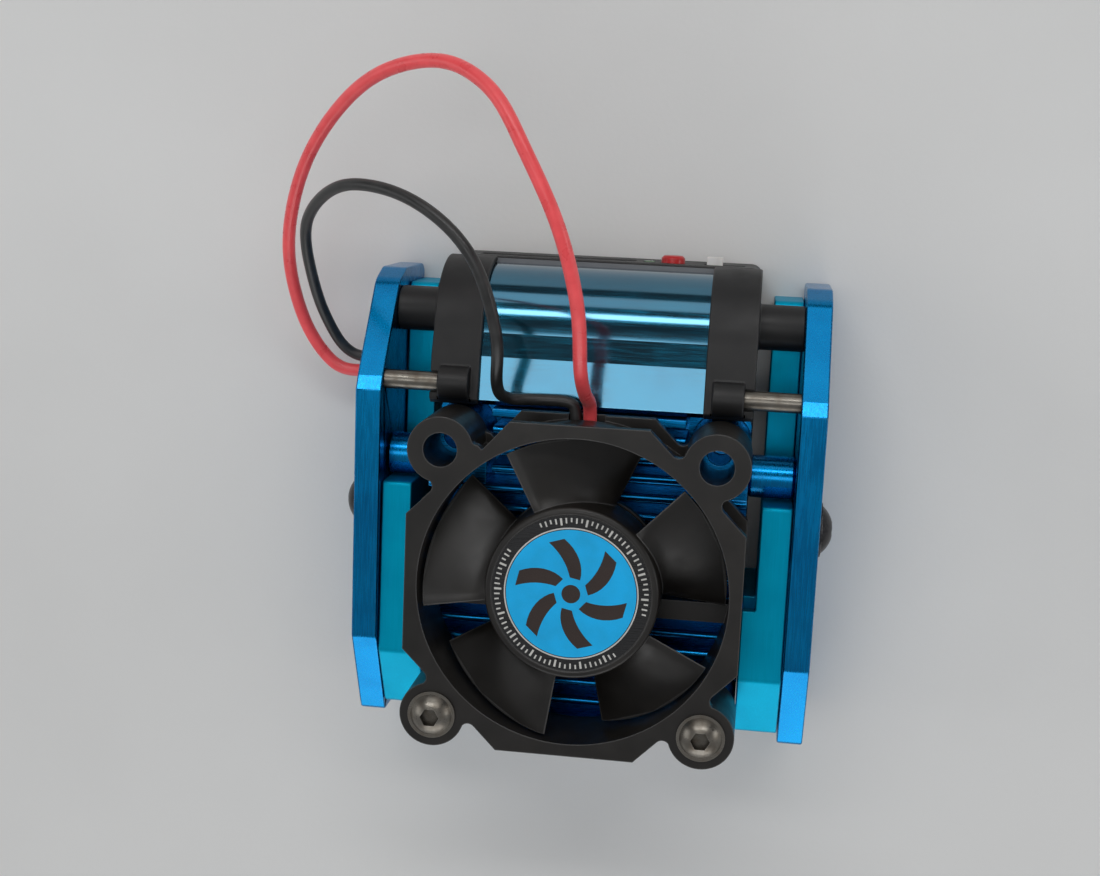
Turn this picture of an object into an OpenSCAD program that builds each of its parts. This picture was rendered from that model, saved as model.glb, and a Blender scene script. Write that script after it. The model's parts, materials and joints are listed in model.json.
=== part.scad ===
// Fan-cooled electronic speed controller, in millimetres.
// +Z is up. The origin is on the mounting plane, directly under the fan's axis.
// The fan blows down into a finned heat sink that sits on the power board. The capacitor bay is
// behind the fan, towards +Y, and the power sockets are in front, towards -Y.

/* [Fan] */
// Width of the fan over its screw lugs
fan_w = 40; // [39:0.5:40]
// Distance between neighbouring fan screws
fan_pitch = 32; // [31.5:0.5:32.5]
// Depth of the fan frame
fan_h = 10; // [10:0.5:12]
// Inside diameter of the fan duct
duct_d = 36.6; // [36:0.2:36.8]
// Diameter of the impeller hub
hub_d = 20.6; // [20.4:0.2:21]
// Number of blades
blade_count = 5; // [3:1:7]
// Angle that one blade covers, seen from the front
blade_span = 52; // [30:1:60]

/* [Case] */
// Width of the tray
case_w = 39.4; // [39:0.2:40]
// Distance from the fan axis to the tray's front wall
case_front = 20; // [20:0.5:22]
// Distance from the fan axis to the tray's rear wall
case_rear = 37.4; // [37.4:0.2:40]
// Wall thickness of the tray
wall = 1.5; // [1.3:0.1:1.7]
// Diameter of each electrolytic capacitor
cap_d = 10; // [8:0.5:10]

/* [Heat sink] */
// Thickness of the heat sink's base
sink_base = 4; // [4:0.1:4.4]
// Height of the fins over the base
fin_h = 6.6; // [5:0.2:7]
// Thickness of a fin
fin_t = 1; // [0.8:0.1:1.2]
// Distance from fin to fin
fin_pitch = 2.4; // [2.3:0.05:2.4]

/* [Side plates] */
// Thickness of each side plate
plate_t = 3.2; // [3:0.1:3.5]
// Width of each inner rail at its wide front end
rail_w = 5.3; // [5.1:0.1:5.6]
// Height of the side plates at their highest corner
plate_h = 23.4; // [23.2:0.1:24]

/* [Terminals] */
// Bore of each bullet socket
socket_bore = 4; // [3.9:0.05:4.1]
// Outside diameter of each bullet socket
socket_d = 5; // [4.8:0.1:5]
// Distance from socket to socket
socket_pitch = 7.3; // [7.2:0.1:7.4]

/* [Fan leads] */
// Outside diameter of the red lead
red_d = 1.7; // [1.2:0.1:1.7]
// Outside diameter of the black lead
black_d = 1.5; // [1.2:0.1:1.6]

/* [Hidden] */
$fn = 48;
eps = 0.01;
slack = 0.02;       // radial room between a screw and its thread, so that the solids stay apart

// Heights of the stack, from the mounting plane up
floor_t = 1.6;
board_t = 1.2;
power_t = 1.6;
fet_t = 1;
pad_t = 0.6;
tray_h = 9.4;
control_z = 3;
control_top = control_z + board_t;
power_z = 6.8;
power_top = power_z + power_t;
gasket_z = tray_h;
sink_z = power_top + fet_t + pad_t;
fin_z = sink_z + sink_base;
fan_z = 22;
fan_top = fan_z + fan_h;

// Plan positions
fan_hole = fan_pitch / 2;
lug_r = (fan_w - fan_pitch) / 2 - 0.1;
inner_x = case_w / 2 + 0.1;                 // inner face of the rails
plate_x = inner_x + rail_w + 0.1;           // inner face of the side plates
plate_out = plate_x + plate_t;
sink_half = case_w / 2 - 0.1;
case_screw_x = 15.6;
case_screw_y = [-8.2, 15.5];

// Capacitor bay behind the fan
cover_front = 19.8;
cover_rear = 36.6;
cover_top = 20.6;
cover_crease_y = 25.7;                      // where the cover's sloping roof turns down
cover_fall = 0.7;                           // how far the roof falls to there
cover_arc = [27.6, sink_z];
cover_arc_a = 84;                           // angle at which the rear curve starts
cover_wall = 1.3;
cover_half = 14.5;
lip = 0.8;
cap_y = 28.1;
cap_z = 12.6;
cap_gap = 3.6;                              // half the gap between the two capacitors
cap_end = 17.8;

// Side fixings, each as [distance along Y, height]
front_fix = [-13.5, 11.6];
spacer_fix = [12.6, 17];
rear_fix = [30.5, 13];
rail_fix = [6.8, 18.6];
brace_fix = [22.4, 21];
brace_r = 1.2;
window_y = [-14, 1.8];
window_z = 17.4;
rail_h = fan_z - 0.1;
rail_step_y = -3.2;                         // the rails are wide in front of this
rail_relief = 1.6;                          // and this much narrower behind it

// Controls and ports on the rear wall
rear_z = 6.15;
port_y = 32.4;
port_out = case_rear - 0.2;
sensor_x = [-16.5, -6.5];
receiver_x = [-4.4, 3.4];
light_x = 5.3;
button_x = 8.3;
button_travel = 0.5;
collar_y = 35.2;                            // front face of the set button's collar
switch_x = [11.6, 18];
slider_x = 12.6;
slider_w = 2;
slider_travel = 2.5;
fan_port_y = [19.9, 24.1];
red_y = 21.1;                               // where each fan lead enters its plug
black_y = 22.9;

// Rotor and bearings
hub_r = hub_d / 2;
hub_top = fan_top - 0.1;
blade_z = [fan_z + 2.4, fan_z + 9.3];
fan_board_r = 9;
shaft_r = 1;
bearing_r = 3;
bearing_h = 2.5;
bearing_z = [fan_z + 0.9, fan_z + 4.4];
ball_count = 7;
ball_orbit_r = 2;
ball_r = 0.42;
label_r = 9.3;
label_t = 0.12;
plug_z = 5.6;

// ---- shared shapes ----

// A rectangle from two corners, with rounded corners
module soft_rect(x0, y0, x1, y1, r) {
    translate([x0 + r, y0]) square([x1 - x0 - 2 * r, y1 - y0]);
    translate([x0, y0 + r]) square([x1 - x0, y1 - y0 - 2 * r]);
    for (x = [x0 + r, x1 - r], y = [y0 + r, y1 - r]) translate([x, y]) circle(r);
}

// A box from two opposite corners
module box(a, b) translate(a) cube(b - a);

module tube(r_out, r_in, z0, z1) {
    difference() {
        translate([0, 0, z0]) cylinder(r = r_out, h = z1 - z0);
        translate([0, 0, z0 - eps]) cylinder(r = r_in, h = z1 - z0 + 2 * eps);
    }
}

// A cylinder along +X or +Y, from its start
module rod_x(x0, x1, y, z, r) translate([x0, y, z]) rotate([0, 90, 0]) cylinder(r = r, h = x1 - x0);
module rod_y(y0, y1, x, z, r) translate([x, y0, z]) rotate([-90, 0, 0]) cylinder(r = r, h = y1 - y0);

// A profile drawn as [Y, Z], extruded along +X
module slab_x(x0, x1) {
    translate([x0, 0, 0]) rotate([90, 0, 90]) linear_extrude(height = x1 - x0) children();
}

module both_sides() {
    children();
    mirror([1, 0, 0]) children();
}

module at_case_screws() {
    for (x = [-case_screw_x, case_screw_x], y = case_screw_y) translate([x, y, 0]) children();
}

module at_fan_holes() {
    for (x = [-fan_hole, fan_hole], y = [-fan_hole, fan_hole]) translate([x, y, 0]) children();
}

function unit(v) = v / norm(v);

// Points of an arc about c
function arc(c, r, a0, a1, n = 6) =
    [for (i = [0:n]) c + r * [cos(a0 + (a1 - a0) * i / n), sin(a0 + (a1 - a0) * i / n)]];

// The arc that rounds a convex corner of an outline, with p between its neighbours a and b
function corner(a, p, b, r) = let (u = unit(a - p), v = unit(b - p), half = acos(u * v) / 2,
    c = p + unit(u + v) * r / sin(half), s = p + u * r / tan(half) - c,
    turn = cross(u, v) > 0 ? -1 : 1)
    arc(c, r, atan2(s[1], s[0]), atan2(s[1], s[0]) + turn * (180 - 2 * half));

// An outline of [point, corner radius] pairs, with every corner rounded
function rounded(p) = let (n = len(p))
    [for (i = [0:n - 1]) each corner(p[(i + n - 1) % n][0], p[i][0], p[(i + 1) % n][0], p[i][1])];

// A button-head screw standing on z = 0, with its shank hanging below
module button_screw(head_r, head_h, shank_r, length, socket_r) {
    dome_r = (pow(head_r - 0.35, 2) + pow(head_h - 0.3, 2)) / (2 * (head_h - 0.3));
    difference() {
        union() {
            cylinder(r = head_r, h = 0.3);
            intersection() {
                translate([0, 0, head_h - dome_r]) sphere(r = dome_r);
                translate([0, 0, 0.25]) cylinder(r = head_r - 0.02, h = head_h);
            }
            translate([0, 0, -length]) cylinder(r = shank_r - slack, h = length + 0.1);
        }
        translate([0, 0, head_h - 1]) cylinder(r = socket_r, h = 2, $fn = 6);
    }
}

// A countersunk screw whose flat head is flush with z = 0
module flat_screw(head_r, shank_r, length, socket_r) {
    cone_h = head_r - shank_r + 0.3;
    difference() {
        union() {
            translate([0, 0, -0.3]) cylinder(r = head_r, h = 0.3);
            translate([0, 0, -cone_h]) cylinder(r1 = shank_r - slack, r2 = head_r, h = cone_h - 0.3);
            translate([0, 0, -length]) cylinder(r = shank_r - slack, h = length - cone_h + 0.1);
        }
        translate([0, 0, -0.9]) cylinder(r = socket_r, h = 2, $fn = 6);
    }
}

// The room that flat_screw's head needs, a little larger than the head
module flat_screw_seat(head_r, shank_r) {
    cone_h = head_r - shank_r + 0.3;
    translate([0, 0, -0.3 - 2 * slack]) cylinder(r = head_r + slack, h = 1);
    translate([0, 0, -cone_h - 2 * slack])
        cylinder(r1 = shank_r, r2 = head_r + slack, h = cone_h - 0.3);
}

// Puts something that points along +Z on the outer face of the right side plate, at [y, z]
module on_plate(fix) translate([plate_out, fix[0], fix[1]]) rotate([0, 90, 0]) children();

// ---- wires: a tube round a smooth curve through given points ----

function spline(p, i, t) = let (a = p[max(i - 1, 0)], b = p[i], c = p[i + 1],
    d = p[min(i + 2, len(p) - 1)])
    0.5 * (2 * b + (c - a) * t + (2 * a - 5 * b + 4 * c - d) * t * t
        + (3 * b - a - 3 * c + d) * t * t * t);
function smooth_path(p, n) = concat([for (i = [0:len(p) - 2], k = [0:n - 1]) spline(p, i, k / n)],
    [p[len(p) - 1]]);
function heading(q, i) = unit(q[min(i + 1, len(q) - 1)] - q[max(i - 1, 0)]);
// Each ring's side vector is the last one, turned as little as the curve allows
function sides(q, i = 0, last = [0, 0, 1]) = i >= len(q) ? [] :
    let (t = heading(q, i), s = unit(last - (last * t) * t)) concat([s], sides(q, i + 1, s));

module wire(points, r, around = 12, steps = 4) {
    q = smooth_path(points, steps);
    side = sides(q);
    n = len(q);
    verts = [for (i = [0:n - 1], k = [0:around - 1])
        let (t = heading(q, i), s = side[i], u = cross(t, s), a = 360 * k / around)
        q[i] + r * (cos(a) * s + sin(a) * u)];
    skin = [for (i = [0:n - 2], k = [0:around - 1])
        let (a = i * around + k, b = i * around + (k + 1) % around)
        each [[a, b, b + around], [a, b + around, a + around]]];
    ends = [[for (k = [around - 1:-1:0]) k], [for (k = [0:around - 1]) (n - 1) * around + k]];
    polyhedron(points = verts, faces = concat([for (f = skin) [f[2], f[1], f[0]]],
        [for (f = ends) [for (k = [len(f) - 1:-1:0]) f[k]]]), convexity = 8);
}

// ---- tray and electronics ----

module tray() color([0.07, 0.07, 0.075]) {
    half = case_w / 2;
    difference() {
        union() {
            difference() {
                linear_extrude(height = tray_h)
                    soft_rect(-half, -case_front, half, case_rear, 1.5);
                translate([0, 0, floor_t]) linear_extrude(height = tray_h)
                    soft_rect(wall - half, wall - case_front, half - wall, case_rear - wall, 0.5);
            }
            at_case_screws() cylinder(r = 2.6, h = control_z);
        }
        at_case_screws() {
            translate([0, 0, -eps]) cylinder(r = 1.1, h = control_z + 1);
            translate([0, 0, -eps]) cylinder(r = 2.1, h = 1.2 + eps);
        }
        for (i = [-2:2]) rod_y(-case_front - 1, wall - case_front + 1, i * socket_pitch,
            socket_z(), socket_d / 2 + 0.1);
        rear_openings();
        box([-half - 1, fan_port_y[0] - 0.1, control_top - 0.1],
            [wall - half + 1, fan_port_y[1] + 0.1, control_top + 2.9]);
    }
}

module rear_openings() {
    y0 = case_rear - wall - 1;
    y1 = case_rear + 1;
    box([sensor_x[0] - 0.1, y0, control_top - 0.1], [sensor_x[1] + 0.1, y1, control_top + 3.3]);
    box([receiver_x[0] - 0.1, y0, control_top - 0.1], [receiver_x[1] + 0.1, y1, control_top + 3.1]);
    rod_y(y0, y1, light_x, rear_z, 0.75);
    rod_y(y0, y1, button_x, rear_z, 1.6);
    box([slider_x - 0.3, y0, rear_z - 1], [slider_x + slider_w + slider_travel + 0.3, y1, rear_z + 1]);
}

module case_gasket() color([0.35, 0.36, 0.38]) {
    half = case_w / 2;
    translate([0, 0, gasket_z]) linear_extrude(height = sink_z - gasket_z) difference() {
        soft_rect(0.3 - half, 0.3 - case_front, half - 0.3, case_rear - 0.3, 1.2);
        soft_rect(1.3 - half, 1.3 - case_front, half - 1.3, case_rear - 1.3, 0.5);
    }
}

module control_board() color([0.04, 0.16, 0.1]) {
    edge = case_w / 2 - wall - 0.3;
    difference() {
        box([-edge, -10.6, control_z], [edge, case_rear - wall - 0.3, control_top]);
        at_case_screws() translate([0, 0, control_z - 1]) cylinder(r = 1.1, h = 4);
    }
}

module control_chips() color([0.05, 0.05, 0.055]) {
    chips = [[0, 2, 7, 7, 1], [-10, -2, 5, 5, 0.9], [-10, 5, 5, 5, 0.9], [-10, 12, 5, 5, 0.9],
        [9.5, -3, 4, 5, 1.4], [9, 5, 5, 5, 2.2], [9, 12.5, 5, 5, 2.2], [0, 10, 3.2, 2.5, 0.8],
        [0, 15.5, 4, 3, 1.1]];
    for (c = chips) translate([c[0] - c[2] / 2, c[1] - c[3] / 2, control_top])
        cube([c[2], c[3], c[4]]);
}

module board_spacers() color([0.85, 0.84, 0.8]) at_case_screws() tube(2, 1.1, control_top, power_z);

module board_header() color([0.08, 0.08, 0.08]) {
    difference() {
        box([-9, -9.6, control_top], [9, -7.2, power_z]);
        for (i = [-6:6])
            box([i * 1.27 - 0.15, -8.55, control_top + 0.8], [i * 1.27 + 0.15, -8.25, power_z + 1]);
    }
}

module power_board() color([0.04, 0.16, 0.1]) {
    edge = case_w / 2 - wall - 0.3;
    difference() {
        union() {
            box([-edge, wall + 0.3 - case_front, power_z], [edge, 19.6, power_top]);
            box([-2.8, 19, power_z], [2.8, 32.2, power_top]);
        }
        at_case_screws() translate([0, 0, power_z - 1]) cylinder(r = 1.1, h = 4);
        at_cap_leads() translate([0, 0, power_z - 1]) cylinder(r = 0.35, h = 4);
    }
}

module mosfets() color([0.05, 0.05, 0.055]) {
    for (x = [-15:6:15], y = [-2.5, 6]) translate([x - 2.5, y - 3, power_top]) cube([5, 6, fet_t]);
}

module thermal_pad() color([0.55, 0.62, 0.72]) {
    box([-17.8, -5.8, power_top + fet_t], [17.8, 9.3, sink_z]);
}

function socket_z() = power_z - socket_d / 2 - 0.05;

module bullet_socket() color([0.83, 0.65, 0.25]) {
    y0 = -case_front;
    difference() {
        union() {
            rod_y(y0, y0 + 9, 0, socket_z(), socket_d / 2);
            box([-1.2, y0 + wall + 0.2, socket_z() + 1], [1.2, y0 + 8.6, power_z]);
        }
        rod_y(y0 - 1, y0 + 8, 0, socket_z(), socket_bore / 2);
    }
}

module motor_sockets() for (i = [-1:1]) translate([i * socket_pitch, 0, 0]) bullet_socket();
module battery_sockets() for (i = [-2, 2]) translate([i * socket_pitch, 0, 0]) bullet_socket();

module socket_ring(i) {
    difference() {
        rod_y(-case_front - 0.6, -case_front, i * socket_pitch, socket_z(), socket_d / 2 + 0.8);
        rod_y(-case_front - 1, 1 - case_front, i * socket_pitch, socket_z(), socket_d / 2 + 0.1);
    }
}

module positive_ring() color([0.75, 0.05, 0.05]) socket_ring(2);
module negative_ring() color([0.05, 0.05, 0.05]) socket_ring(-2);
module phase_rings() color([0.9, 0.9, 0.88]) for (i = [-1:1]) socket_ring(i);

// ---- rear controls and ports ----

// A shell with an opening at the rear and solid behind; x is the range it fills
module rear_shell(x, h, wall_t) {
    difference() {
        box([x[0], port_y, control_top], [x[1], port_out, control_top + h]);
        box([x[0] + wall_t, port_y + 1, control_top + wall_t],
            [x[1] - wall_t, port_out + 1, control_top + h - wall_t]);
    }
}

module sensor_port() color([0.9, 0.88, 0.82]) rear_shell(sensor_x, 3.1, 0.5);
module receiver_port() color([0.08, 0.08, 0.08]) rear_shell(receiver_x, 2.9, 0.4);

module fan_port() color([0.9, 0.88, 0.82]) {
    x0 = 0.2 - case_w / 2;
    difference() {
        box([x0, fan_port_y[0], control_top], [x0 + 5.2, fan_port_y[1], control_top + 2.8]);
        box([x0 - 1, fan_port_y[0] + 0.5, control_top + 0.5],
            [x0 + 4.2, fan_port_y[1] - 0.5, control_top + 2.3]);
    }
}

module port_pins() color([0.8, 0.7, 0.4]) {
    for (i = [0:5]) rod_y(port_y + 1, port_out - 0.8, -15.25 + 1.5 * i, control_top + 1.55, 0.25);
    for (i = [-1:1]) rod_y(port_y + 1, port_out - 0.8, -0.5 + 2.2 * i, control_top + 1.45, 0.3);
    for (y = [black_y, red_y]) rod_x(-18.6, 4.4 - case_w / 2, y, plug_z, 0.25);
}

module tact_switch() color([0.6, 0.6, 0.58]) {
    box([button_x - 2.2, port_y, control_top],
        [button_x + 2.2, collar_y - button_travel - 0.05, control_top + 3.1]);
}

// The cap of the set button, with a collar that keeps it behind the rear wall
module set_button() color([0.75, 0.06, 0.06]) {
    rod_y(collar_y, 35.85, button_x, rear_z, 1.9);
    rod_y(35.8, case_rear + 0.6, button_x, rear_z, 1.5);
    translate([button_x, case_rear + 0.6, rear_z]) rotate([-90, 0, 0])
        cylinder(r1 = 1.5, r2 = 1.2, h = 0.3);
}

module switch_body() color([0.6, 0.6, 0.58]) {
    difference() {
        box([switch_x[0], port_y, control_top], [switch_x[1], 35.7, control_top + 3.5]);
        box([slider_x - 0.5, 33.2, rear_z - 1.1],
            [slider_x + slider_w + slider_travel + 0.5, 36, rear_z + 1.1]);
    }
}

module switch_slider() color([0.9, 0.9, 0.88]) {
    box([slider_x, 33.3, rear_z - 0.85], [slider_x + slider_w, case_rear + 1, rear_z + 0.85]);
}

module status_light() color([0.6, 0.95, 0.6]) {
    rod_y(34, case_rear + 0.1, light_x, rear_z, 0.7);
}

// ---- heat sink ----

module heat_sink() color([0.0, 0.42, 0.78]) {
    difference() {
        union() {
            translate([0, 0, sink_z]) linear_extrude(height = sink_base)
                soft_rect(-sink_half, -sink_half, sink_half, sink_half, 1.5);
            at_case_screws() translate([0, 0, power_top]) cylinder(r = 2.3, h = pad_t + fet_t + 1);
            at_fan_holes() translate([0, 0, fin_z - 1]) cylinder(r = 3.7, h = fan_z - fin_z + 1);
            for (k = [-7:7]) fin(k * fin_pitch, abs(k) < 5 ? sink_half : 11.8);
            for (y = [-sink_half, sink_half - 1])
                box([-11.8, y, fin_z - 1], [11.8, y + 1, fan_z - 0.4]);
            both_sides() box([12.4, spacer_fix[0] - 2.8, fin_z - 1],
                [sink_half, spacer_fix[0] + 2.8, fan_z - 1.6]);
        }
        at_fan_holes() translate([0, 0, fan_z - 7.8]) cylinder(r = 1.5, h = 9);
        at_case_screws() translate([0, 0, power_top - 1]) cylinder(r = 1, h = 5.8);
        both_sides() rod_x(15.6, 21, spacer_fix[0], spacer_fix[1], 1.25);
        both_sides() rod_x(15.6, 21, front_fix[0], front_fix[1], 1.25);
    }
}

// One fin along X, with a round top edge
module fin(y, half) {
    box([-half, y - fin_t / 2, fin_z - 0.5], [half, y + fin_t / 2, fin_z + fin_h - fin_t / 2]);
    rod_x(-half, half, y, fin_z + fin_h - fin_t / 2, fin_t / 2);
}

// ---- capacitor bay ----

module at_cap_leads() for (x = [-1.8, 1.8], y = [-2.5, 2.5]) translate([x, cap_y + y, 0]) children();

// The bay's outline as [Y, Z], pulled in by an inset on the sides and the top
module bay_profile(inset, front = cover_front) {
    r = cover_rear - cover_arc[0];
    polygon(concat([[front + inset, sink_z], [front + inset, cover_top - inset - 0.6],
        [front + inset + 0.6, cover_top - inset], [cover_crease_y, cover_top - cover_fall - inset]],
        arc(cover_arc, r - inset, cover_arc_a, 0, 16)));
}

module capacitor_cover() color([0.0, 0.42, 0.78]) {
    difference() {
        slab_x(-cover_half, cover_half) bay_profile(0);
        translate([0, 0, -eps]) slab_x(-cover_half - 1, cover_half + 1) bay_profile(cover_wall);
    }
}

// A moulded end for the bay: it traps the cover under a lip, carries a side boss for the plate
// screw, and has an upright lug that holds the brace pin
module cover_end() color([0.06, 0.06, 0.065]) {
    out = case_w / 2;
    y = brace_fix[0];
    lug_r = 2.1;
    difference() {
        union() {
            slab_x(cover_half - 0.8, out) bay_profile(-lip, cover_front + lip);
            rod_x(out - 0.5, plate_x, rear_fix[0], rear_fix[1], 2.8);
            box([cover_half + 0.2, y - lug_r, cover_top - 1], [cover_half + 4, y + lug_r, brace_fix[1]]);
            rod_x(cover_half + 0.2, cover_half + 4, y, brace_fix[1], lug_r);
        }
        translate([0, 0, -eps]) slab_x(cover_half - 1, cover_half + 0.1)
            bay_profile(-0.05, cover_front);
        translate([0, 0, -eps]) slab_x(cover_half, out - wall) bay_profile(cover_wall);
        rod_x(out - 0.3, plate_x + 1, rear_fix[0], rear_fix[1], 1.25);
        rod_x(cover_half + 0.8, out + 1, y, brace_fix[1], brace_r);
    }
}

module cover_end_right() cover_end();
module cover_end_left() mirror([1, 0, 0]) cover_end();

// A can lying along +X, with the crimp groove near its lead end
module capacitor_can() {
    r = cap_d / 2 - 0.15;
    length = cap_end - cap_gap;
    translate([cap_gap, cap_y, cap_z]) rotate([0, 90, 0]) rotate_extrude()
        polygon([[0, 1], [r - 1.2, 1], [r - 0.9, 0], [r - 0.3, 0], [r, 0.4], [r, 1.6], [r - 0.5, 2],
            [r, 2.4], [r, length - 0.5], [r - 0.5, length], [0, length]]);
}

module capacitor_cans() color([0.75, 0.75, 0.77]) both_sides() capacitor_can();

module capacitor_sleeves() color([0.05, 0.06, 0.09]) {
    both_sides() translate([0, cap_y, cap_z]) rotate([0, 90, 0])
        tube(cap_d / 2, cap_d / 2 - 0.15 + slack / 2, cap_gap + 2.5, cap_end - 0.6);
}

module capacitor_bungs() color([0.1, 0.1, 0.1]) {
    both_sides() difference() {
        rod_x(cap_gap + 0.1, cap_gap + 1 - eps, cap_y, cap_z, cap_d / 2 - 1.5);
        for (y = [-2.5, 2.5]) rod_x(cap_gap - 1, cap_gap + 2, cap_y + y, cap_z, 0.32);
    }
}

// Each lead runs out of the bung, turns down and ends in the board's tongue
module capacitor_leads() color([0.8, 0.8, 0.78]) {
    for (x = [-1, 1], y = [-2.5, 2.5]) {
        rod_x(min(x * 1.8, x * (cap_gap + 1 - 2 * eps)), max(x * 1.8, x * (cap_gap + 1 - 2 * eps)),
            cap_y + y, cap_z, 0.3);
        translate([x * 1.8, cap_y + y, power_z - 0.3]) cylinder(r = 0.3, h = cap_z - power_z + 0.3);
        translate([x * 1.8, cap_y + y, cap_z]) sphere(r = 0.3);
    }
}

// ---- side plates, rails and their fixings ----

// The top edge climbs a facet at the front and falls away behind its highest corner, over the
// capacitor bay
module plate_outline() {
    polygon(rounded([[[-21.5, 0], 1.5], [[-21.5, 16.8], 1], [[-10, plate_h - 0.7], 1.5],
        [[21.2, plate_h], 0.4], [[22.9, plate_h - 0.8], 0.4], [[34, 14.6], 3], [[35.4, 11], 3],
        [[35.4, 0], 1.5]]));
}

// A long hole with round ends, as [Y, Z]
module slot_outline(y0, y1, z, r) {
    translate([y0 + r, z - r]) square([y1 - y0 - 2 * r, 2 * r]);
    for (y = [y0 + r, y1 - r]) translate([y, z]) circle(r);
}

module plug_window() slot_outline(18.2, 25.8, plug_z, 2.6);

module side_plate() color([0.0, 0.45, 0.8]) {
    difference() {
        slab_x(plate_x, plate_out) difference() {
            plate_outline();
            slot_outline(window_y[0] - 0.3, window_y[1] + 0.3, window_z, 3);
            plug_window();
        }
        on_plate(rail_fix) translate([0, 0, -5]) cylinder(r = 1.6, h = 6);
        for (f = [front_fix, spacer_fix, rear_fix]) on_plate(f) {
            translate([0, 0, -5]) cylinder(r = 1.35, h = 6);
            flat_screw_seat(2.35, 1.25);
        }
        rod_x(plate_x - 1, plate_x + 0.8, brace_fix[0], brace_fix[1], brace_r);
    }
}

module right_side_plate() side_plate();
module left_side_plate() mirror([1, 0, 0]) side_plate();

// Each rail stands on a long foot, tapped from below for the four mounting screws
foot_h = 9.2;
mount_x = inner_x + (rail_w + rail_relief) / 2;
mount_y = [-16, 29.5];
mount_r = 1.05;

module rail() color([0.0, 0.5, 0.68]) {
    x1 = inner_x + rail_w;
    difference() {
        slab_x(inner_x, x1) difference() {
            polygon(rounded([[[-20, 0], 1], [[-20, rail_h - 4.4], 1], [[-12, rail_h], 1.5],
                [[9.8, rail_h], 0.5], [[9.8, foot_h], 1], [[33.5, foot_h], 1], [[33.5, 0], 1]]));
            slot_outline(window_y[0], window_y[1], window_z, 2.7);
            plug_window();
        }
        box([inner_x - 1, rail_step_y, -1], [inner_x + rail_relief, case_rear, rail_h + 1]);
        rod_x(inner_x + rail_relief + 0.5, x1 + 1, rail_fix[0], rail_fix[1], 1.5);
        rod_x(inner_x - 1, x1 + 1, front_fix[0], front_fix[1], 1.35);
        for (y = mount_y) translate([mount_x, y, -1]) cylinder(r = mount_r, h = 9);
    }
}

module right_rail() rail();
module left_rail() mirror([1, 0, 0]) rail();

module rail_screws() color([0.1, 0.1, 0.11]) {
    both_sides() on_plate(rail_fix) button_screw(3.3, 1.7, 1.5, 6.2, 1.15);
}

module plate_screws() color([0.12, 0.12, 0.13]) {
    both_sides() {
        on_plate(front_fix) flat_screw(2.35, 1.25, 12, 0.85);
        on_plate(spacer_fix) flat_screw(2.35, 1.25, 12, 0.85);
        on_plate(rear_fix) flat_screw(2.35, 1.25, 8, 0.85);
    }
}

module side_spacers() color([0.0, 0.42, 0.78]) {
    both_sides() translate([0, spacer_fix[0], spacer_fix[1]]) rotate([0, 90, 0]) rotate_extrude()
        polygon([[1.35, sink_half], [2.3, sink_half], [2.6, sink_half + 0.3], [2.6, plate_x - 0.3],
            [2.3, plate_x], [1.35, plate_x]]);
}

module brace_pins() color([0.7, 0.68, 0.62]) {
    both_sides() rod_x(cover_half + 0.8, plate_x + 0.75, brace_fix[0], brace_fix[1], brace_r - slack);
}

module case_screws() color([0.1, 0.1, 0.11]) {
    at_case_screws() difference() {
        union() {
            translate([0, 0, 0.1]) cylinder(r = 1.9, h = 1.1);
            translate([0, 0, 1]) cylinder(r = 1 - slack, h = 12);
        }
        translate([0, 0, -1]) cylinder(r = 0.87, h = 1.8, $fn = 6);
    }
}

// ---- fan ----

octagon_r = (fan_w / 2 - 0.2) / cos(22.5);
arm_w = lug_r - 0.4;                        // half width of the web that joins a lug to the duct
web_r = 0.9;                                // fillet between a lug and the flange

module fan_flange() {
    difference() {
        offset(r = -web_r, $fn = 32) offset(delta = web_r) {
            rotate(22.5) circle(r = octagon_r, $fn = 8);
            at_fan_holes() circle(r = lug_r - 0.05);
        }
        circle(d = duct_d);
    }
}

// The octagon's upper left corner is left open for the leads
module lead_corner(z0, z1) {
    translate([0, 0, z0]) linear_extrude(height = z1 - z0) difference() {
        polygon([[-12.2, 15.1], [-6, 22], [-9, 22], [-16, 21], [-14, 18]]);
        circle(d = duct_d + 2.8);
        translate([-fan_hole, fan_hole]) circle(r = lug_r + 0.2);
        rotate(135) translate([17, -arm_w - 0.2]) square([6, 2 * arm_w + 0.4]);
    }
}

module fan_lugs() {
    at_fan_holes() translate([0, 0, fan_z]) cylinder(r = lug_r, h = fan_h);
    for (a = [45:90:315]) rotate(a) box([18.8, 1.3 - lug_r, fan_z], [20, lug_r - 1.3, fan_top]);
}

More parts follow.
